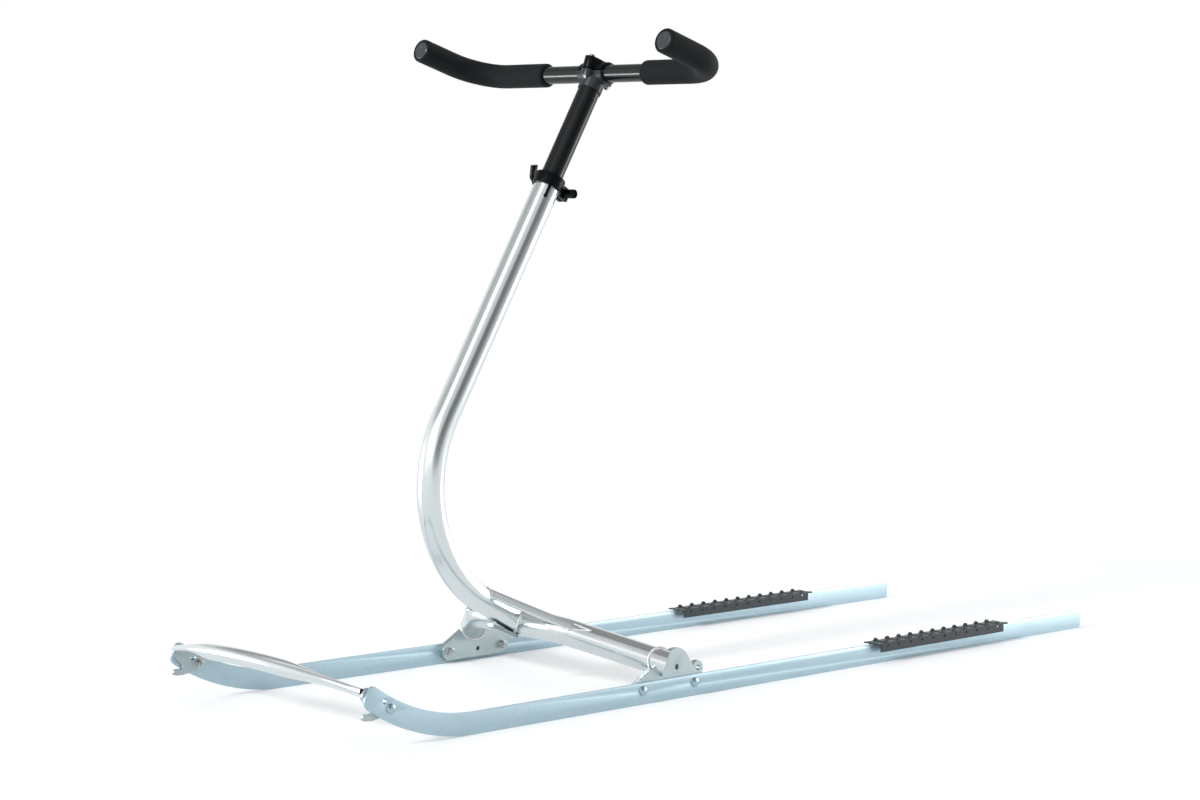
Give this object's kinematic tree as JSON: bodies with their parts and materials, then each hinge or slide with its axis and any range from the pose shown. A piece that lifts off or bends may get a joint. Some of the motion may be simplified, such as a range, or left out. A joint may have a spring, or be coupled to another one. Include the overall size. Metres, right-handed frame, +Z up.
{
  "type": "kick sled",
  "caption": "Light kick sled: strip-steel runners curved up to a front bow, a bent tube mast on a cross tube, and a bullhorn handlebar that adjusts in height and tilt.",
  "frame": {"origin": "middle of the sled's footprint, on the floor", "axes": "+X forward to the bow, +Y to the rider's left, +Z up"},
  "size_m": [1.5755, 0.5288, 0.9232],
  "materials": {
    "satin_aluminium": "satin",
    "polished_aluminium": "polished",
    "galvanised_steel": "zinc plated, satin",
    "dark_steel": "satin",
    "black_aluminium": "glossy black",
    "black_plastic": "matte",
    "dark_plastic": "matte",
    "foam_rubber": "matte closed-cell foam"
  },
  "bodies": {
    "frame": {"bow_hook_left": "satin_aluminium", "bow_hook_right": "satin_aluminium", "brace_left": "satin_aluminium", "brace_right": "satin_aluminium", "bracket_left": "satin_aluminium", "bracket_right": "satin_aluminium", "collar_lever": "black_aluminium", "collar_skewer": "dark_steel", "collar_washer": "black_plastic", "cross_tube": "satin_aluminium", "front_bow": "polished_aluminium", "mast": "polished_aluminium", "post_collar": "black_aluminium", "runner_left": "galvanised_steel", "runner_right": "galvanised_steel", "tow_eye": "satin_aluminium", "tread_left": "black_plastic", "tread_right": "black_plastic"},
    "post": {"post": "black_aluminium", "clamp_body": "black_aluminium", "clamp_cap": "black_aluminium"},
    "bar": {"handlebar": "black_aluminium", "grip_left": "foam_rubber", "grip_right": "foam_rubber", "bar_plug_left": "dark_plastic", "bar_plug_right": "dark_plastic"}
  },
  "joints": [
    {"name": "post_height", "type": "slide", "parent": "frame", "child": "post", "axis": [-0.503, 0, 0.8643], "range_m": [-0.12, 0.09]},
    {"name": "bar_tilt", "type": "hinge", "parent": "post", "child": "bar", "pos_m": [0.15915, 0, 0.8725], "axis": [0, 1, 0], "range_deg": [-60, 60]}
  ]
}
